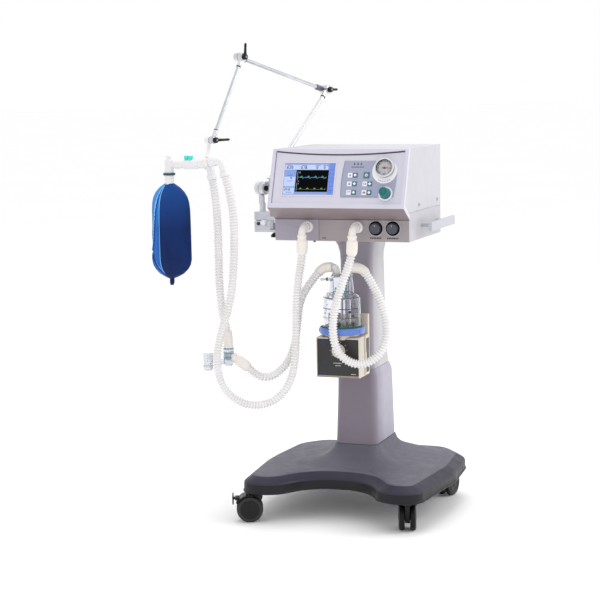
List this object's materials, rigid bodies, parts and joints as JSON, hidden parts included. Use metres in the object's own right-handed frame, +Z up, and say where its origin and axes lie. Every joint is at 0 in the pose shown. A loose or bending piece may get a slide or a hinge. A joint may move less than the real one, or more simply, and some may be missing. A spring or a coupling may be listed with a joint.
{
  "type": "mechanical ventilator",
  "caption": "Trolley-mounted lung ventilator with sloped control front, side rails, jointed hose arm, heated humidifier, corrugated breathing circuit, water trap and test lung.",
  "frame": {"origin": "on the floor, midway between the four castor swivels", "axes": "+X along the ventilator's front to the operator's right, -Y out of the front, +Z up"},
  "size_m": [0.8294, 0.5895, 1.361],
  "materials": {
    "base_grey": "textured moulded plastic",
    "steel_frame": "powder coat",
    "column_plastic": "satin moulded plastic",
    "castor_plastic": "moulded nylon",
    "tyre": "polyurethane",
    "case_paint": "fine textured enamel",
    "bezel_plastic": "satin moulded plastic",
    "display_glass": "lit display behind glass",
    "keypad_film": "printed polyester",
    "key_teal": "printed polyester",
    "gauge_white": "gloss",
    "needle_red": "paint",
    "knob_green": "gloss",
    "knob_grey": "satin",
    "circuit_plastic": "translucent moulded plastic",
    "hose_plastic": "translucent corrugated plastic",
    "clear_plastic": "clear polycarbonate",
    "lung_rubber": "smooth rubber",
    "arm_steel": "polished",
    "arm_clamp_metal": "satin anodised",
    "lever_black": "satin",
    "humidifier_beige": "satin moulded plastic",
    "heater_metal": "turned",
    "guard_blue": "gloss",
    "inlet_black": "satin",
    "inlet_brass": "turned",
    "board_green": "laminate",
    "manifold": "machined",
    "rail_steel": "brushed"
  },
  "bodies": {
    "root": {"arm_clamp": "arm_clamp_metal", "base_cover": "base_grey", "base_frame": "steel_frame", "column_lower_cover": "column_plastic", "column_post": "steel_frame", "column_upper_cover": "column_plastic", "display_window": "display_glass", "expiratory_cover": "bezel_plastic", "front_bezel": "bezel_plastic", "gas_inlets": "inlet_brass", "gas_mixer": "manifold", "gauge_body": "gauge_white", "heater_plate": "heater_metal", "hose_expiratory": "hose_plastic", "hose_humidifier_inlet": "hose_plastic", "hose_humidifier_outlet": "hose_plastic", "hose_inspiratory": "hose_plastic", "humidifier_case": "humidifier_beige", "keypad_panel": "keypad_film", "lower_case": "case_paint", "main_board": "board_green", "port_elbows": "circuit_plastic", "power_inlet": "inlet_black", "rear_panel": "case_paint", "side_rails": "rail_steel", "upper_case": "case_paint", "water_chamber": "clear_plastic", "water_trap": "clear_plastic"},
    "arm_lower": {"arm_lower": "arm_steel"},
    "arm_middle": {"arm_middle": "arm_steel"},
    "arm_upper": {"arm_upper": "arm_steel"},
    "clip": {"hose_clip": "arm_steel", "y_piece": "circuit_plastic", "test_lung": "lung_rubber"},
    "elbow_lever": {"elbow_lever": "lever_black"},
    "top_lever": {"top_lever": "lever_black"},
    "wrist_lever": {"wrist_lever": "lever_black"},
    "clamp_knob": {"clamp_knob": "lever_black"},
    "pressure_knob": {"pressure_knob": "knob_green"},
    "volume_knob": {"volume_knob": "knob_grey"},
    "rate_knob": {"rate_knob": "knob_grey"},
    "gauge_needle": {"gauge_needle": "needle_red"},
    "humidifier_dial": {"humidifier_dial": "humidifier_beige"},
    "guard_ring": {"guard_ring": "guard_blue"},
    "key_upper_left": {"key_upper_left": "key_teal"},
    "key_middle_left": {"key_middle_left": "key_teal"},
    "key_lower_left": {"key_lower_left": "key_teal"},
    "key_upper_right": {"key_upper_right": "key_teal"},
    "key_middle_right": {"key_middle_right": "key_teal"},
    "key_lower_right": {"key_lower_right": "key_teal"},
    "castor_front_left": {"castor_fork_front_left": "castor_plastic"},
    "wheels_front_left": {"castor_wheels_front_left": "tyre"},
    "brake_front_left": {"castor_brake_front_left": "castor_plastic"},
    "castor_front_right": {"castor_fork_front_right": "castor_plastic"},
    "wheels_front_right": {"castor_wheels_front_right": "tyre"},
    "brake_front_right": {"castor_brake_front_right": "castor_plastic"},
    "castor_rear_left": {"castor_fork_rear_left": "castor_plastic"},
    "wheels_rear_left": {"castor_wheels_rear_left": "tyre"},
    "castor_rear_right": {"castor_fork_rear_right": "castor_plastic"},
    "wheels_rear_right": {"castor_wheels_rear_right": "tyre"}
  },
  "joints": [
    {"name": "shoulder_hinge", "type": "hinge", "parent": "root", "child": "arm_lower", "pos_m": [-0.275, -0.022, 0.941], "axis": [0.9367, -0.3502, 0], "range_deg": [-4, 20], "deforming": ["hose_expiratory", "hose_inspiratory"]},
    {"name": "elbow_hinge", "type": "hinge", "parent": "arm_lower", "child": "arm_middle", "pos_m": [-0.17099, 0.25619, 1.223], "axis": [0.9367, -0.3502, 0], "range_deg": [-20, 10], "deforming": ["hose_expiratory", "hose_inspiratory"]},
    {"name": "top_hinge", "type": "hinge", "parent": "arm_middle", "child": "arm_upper", "pos_m": [-0.30477, -0.10162, 1.321], "axis": [0.9367, -0.3502, 0], "range_deg": [-20, 15], "deforming": ["hose_expiratory", "hose_inspiratory"]},
    {"name": "wrist_hinge", "type": "hinge", "parent": "arm_upper", "child": "clip", "pos_m": [-0.35029, -0.22338, 1.089], "axis": [0.9367, -0.3502, 0], "range_deg": [-30, 20], "deforming": ["hose_expiratory", "hose_inspiratory"]},
    {"name": "swivel_front_left", "type": "hinge", "parent": "root", "child": "castor_front_left", "pos_m": [-0.222, -0.236, 0.087], "axis": [0, 0, 1], "continuous": true},
    {"name": "swivel_front_right", "type": "hinge", "parent": "root", "child": "castor_front_right", "pos_m": [0.222, -0.236, 0.087], "axis": [0, 0, 1], "continuous": true},
    {"name": "swivel_rear_left", "type": "hinge", "parent": "root", "child": "castor_rear_left", "pos_m": [-0.222, 0.236, 0.087], "axis": [0, 0, 1], "continuous": true},
    {"name": "swivel_rear_right", "type": "hinge", "parent": "root", "child": "castor_rear_right", "pos_m": [0.222, 0.236, 0.087], "axis": [0, 0, 1], "continuous": true},
    {"name": "roll_front_left", "type": "hinge", "parent": "castor_front_left", "child": "wheels_front_left", "pos_m": [-0.2452, -0.24532, 0.038], "axis": [0.373, -0.9278, 0], "continuous": true},
    {"name": "roll_front_right", "type": "hinge", "parent": "castor_front_right", "child": "wheels_front_right", "pos_m": [0.2149, -0.21203, 0.038], "axis": [-0.9588, -0.284, 0], "continuous": true},
    {"name": "roll_rear_left", "type": "hinge", "parent": "castor_rear_left", "child": "wheels_rear_left", "pos_m": [-0.19851, 0.24455, 0.038], "axis": [-0.342, 0.9397, 0], "continuous": true},
    {"name": "roll_rear_right", "type": "hinge", "parent": "castor_rear_right", "child": "wheels_rear_right", "pos_m": [0.2168, 0.21155, 0.038], "axis": [0.9781, -0.2079, 0], "continuous": true},
    {"name": "brake_front_left", "type": "hinge", "parent": "castor_front_left", "child": "brake_front_left", "pos_m": [-0.28045, -0.2595, 0.068], "axis": [0.373, -0.9278, 0], "range_deg": [0, 12]},
    {"name": "brake_front_right", "type": "hinge", "parent": "castor_front_right", "child": "brake_front_right", "pos_m": [0.20411, -0.17559, 0.068], "axis": [-0.9588, -0.284, 0], "range_deg": [0, 12]},
    {"name": "pressure_turn", "type": "hinge", "parent": "root", "child": "pressure_knob", "pos_m": [0.144, -0.16155, 0.93742], "axis": [0, -0.9414, 0.3374], "range_deg": [-150, 150]},
    {"name": "volume_turn", "type": "hinge", "parent": "root", "child": "volume_knob", "pos_m": [0.102, -0.118, 0.836], "axis": [0, -1, 0], "range_deg": [-140, 140]},
    {"name": "rate_turn", "type": "hinge", "parent": "root", "child": "rate_knob", "pos_m": [0.152, -0.118, 0.836], "axis": [0, -1, 0], "range_deg": [-140, 140]},
    {"name": "dial_turn", "type": "hinge", "parent": "root", "child": "humidifier_dial", "pos_m": [-0.002, -0.15, 0.489], "axis": [0, -1, 0], "range_deg": [-150, 150]},
    {"name": "needle_turn", "type": "hinge", "parent": "root", "child": "gauge_needle", "pos_m": [0.136, -0.13692, 1.00614], "axis": [0, -0.9414, 0.3374], "range_deg": [-130, 130], "stiffness_Nm_per_rad": 0.0002},
    {"name": "guard_press", "type": "slide", "parent": "root", "child": "guard_ring", "axis": [0, 0, -1], "range_m": [0, 0.005], "stiffness_N_per_m": 600, "springref_m": -0.002},
    {"name": "key_upper_left_press", "type": "slide", "parent": "root", "child": "key_upper_left", "axis": [0, 0.9414, -0.3374], "range_m": [0, 0.0012], "stiffness_N_per_m": 300, "springref_m": -0.0003},
    {"name": "key_middle_left_press", "type": "slide", "parent": "root", "child": "key_middle_left", "axis": [0, 0.9414, -0.3374], "range_m": [0, 0.0012], "stiffness_N_per_m": 300, "springref_m": -0.0003},
    {"name": "key_lower_left_press", "type": "slide", "parent": "root", "child": "key_lower_left", "axis": [0, 0.9414, -0.3374], "range_m": [0, 0.0012], "stiffness_N_per_m": 300, "springref_m": -0.0003},
    {"name": "key_upper_right_press", "type": "slide", "parent": "root", "child": "key_upper_right", "axis": [0, 0.9414, -0.3374], "range_m": [0, 0.0012], "stiffness_N_per_m": 300, "springref_m": -0.0003},
    {"name": "key_middle_right_press", "type": "slide", "parent": "root", "child": "key_middle_right", "axis": [0, 0.9414, -0.3374], "range_m": [0, 0.0012], "stiffness_N_per_m": 300, "springref_m": -0.0003},
    {"name": "key_lower_right_press", "type": "slide", "parent": "root", "child": "key_lower_right", "axis": [0, 0.9414, -0.3374], "range_m": [0, 0.0012], "stiffness_N_per_m": 300, "springref_m": -0.0003},
    {"name": "elbow_lever_turn", "type": "hinge", "parent": "arm_lower", "child": "elbow_lever", "pos_m": [-0.17099, 0.25619, 1.223], "axis": [0.9367, -0.3502, 0], "range_deg": [-30, 30]},
    {"name": "top_lever_turn", "type": "hinge", "parent": "arm_upper", "child": "top_lever", "pos_m": [-0.30477, -0.10162, 1.321], "axis": [0.9367, -0.3502, 0], "range_deg": [-30, 30]},
    {"name": "wrist_lever_turn", "type": "hinge", "parent": "arm_upper", "child": "wrist_lever", "pos_m": [-0.35029, -0.22338, 1.089], "axis": [0.9367, -0.3502, 0], "range_deg": [-30, 30]},
    {"name": "clamp_knob_turn", "type": "hinge", "parent": "root", "child": "clamp_knob", "pos_m": [-0.24, -0.022, 0.81], "axis": [0, 0, 1], "range_deg": [-180, 180]}
  ]
}
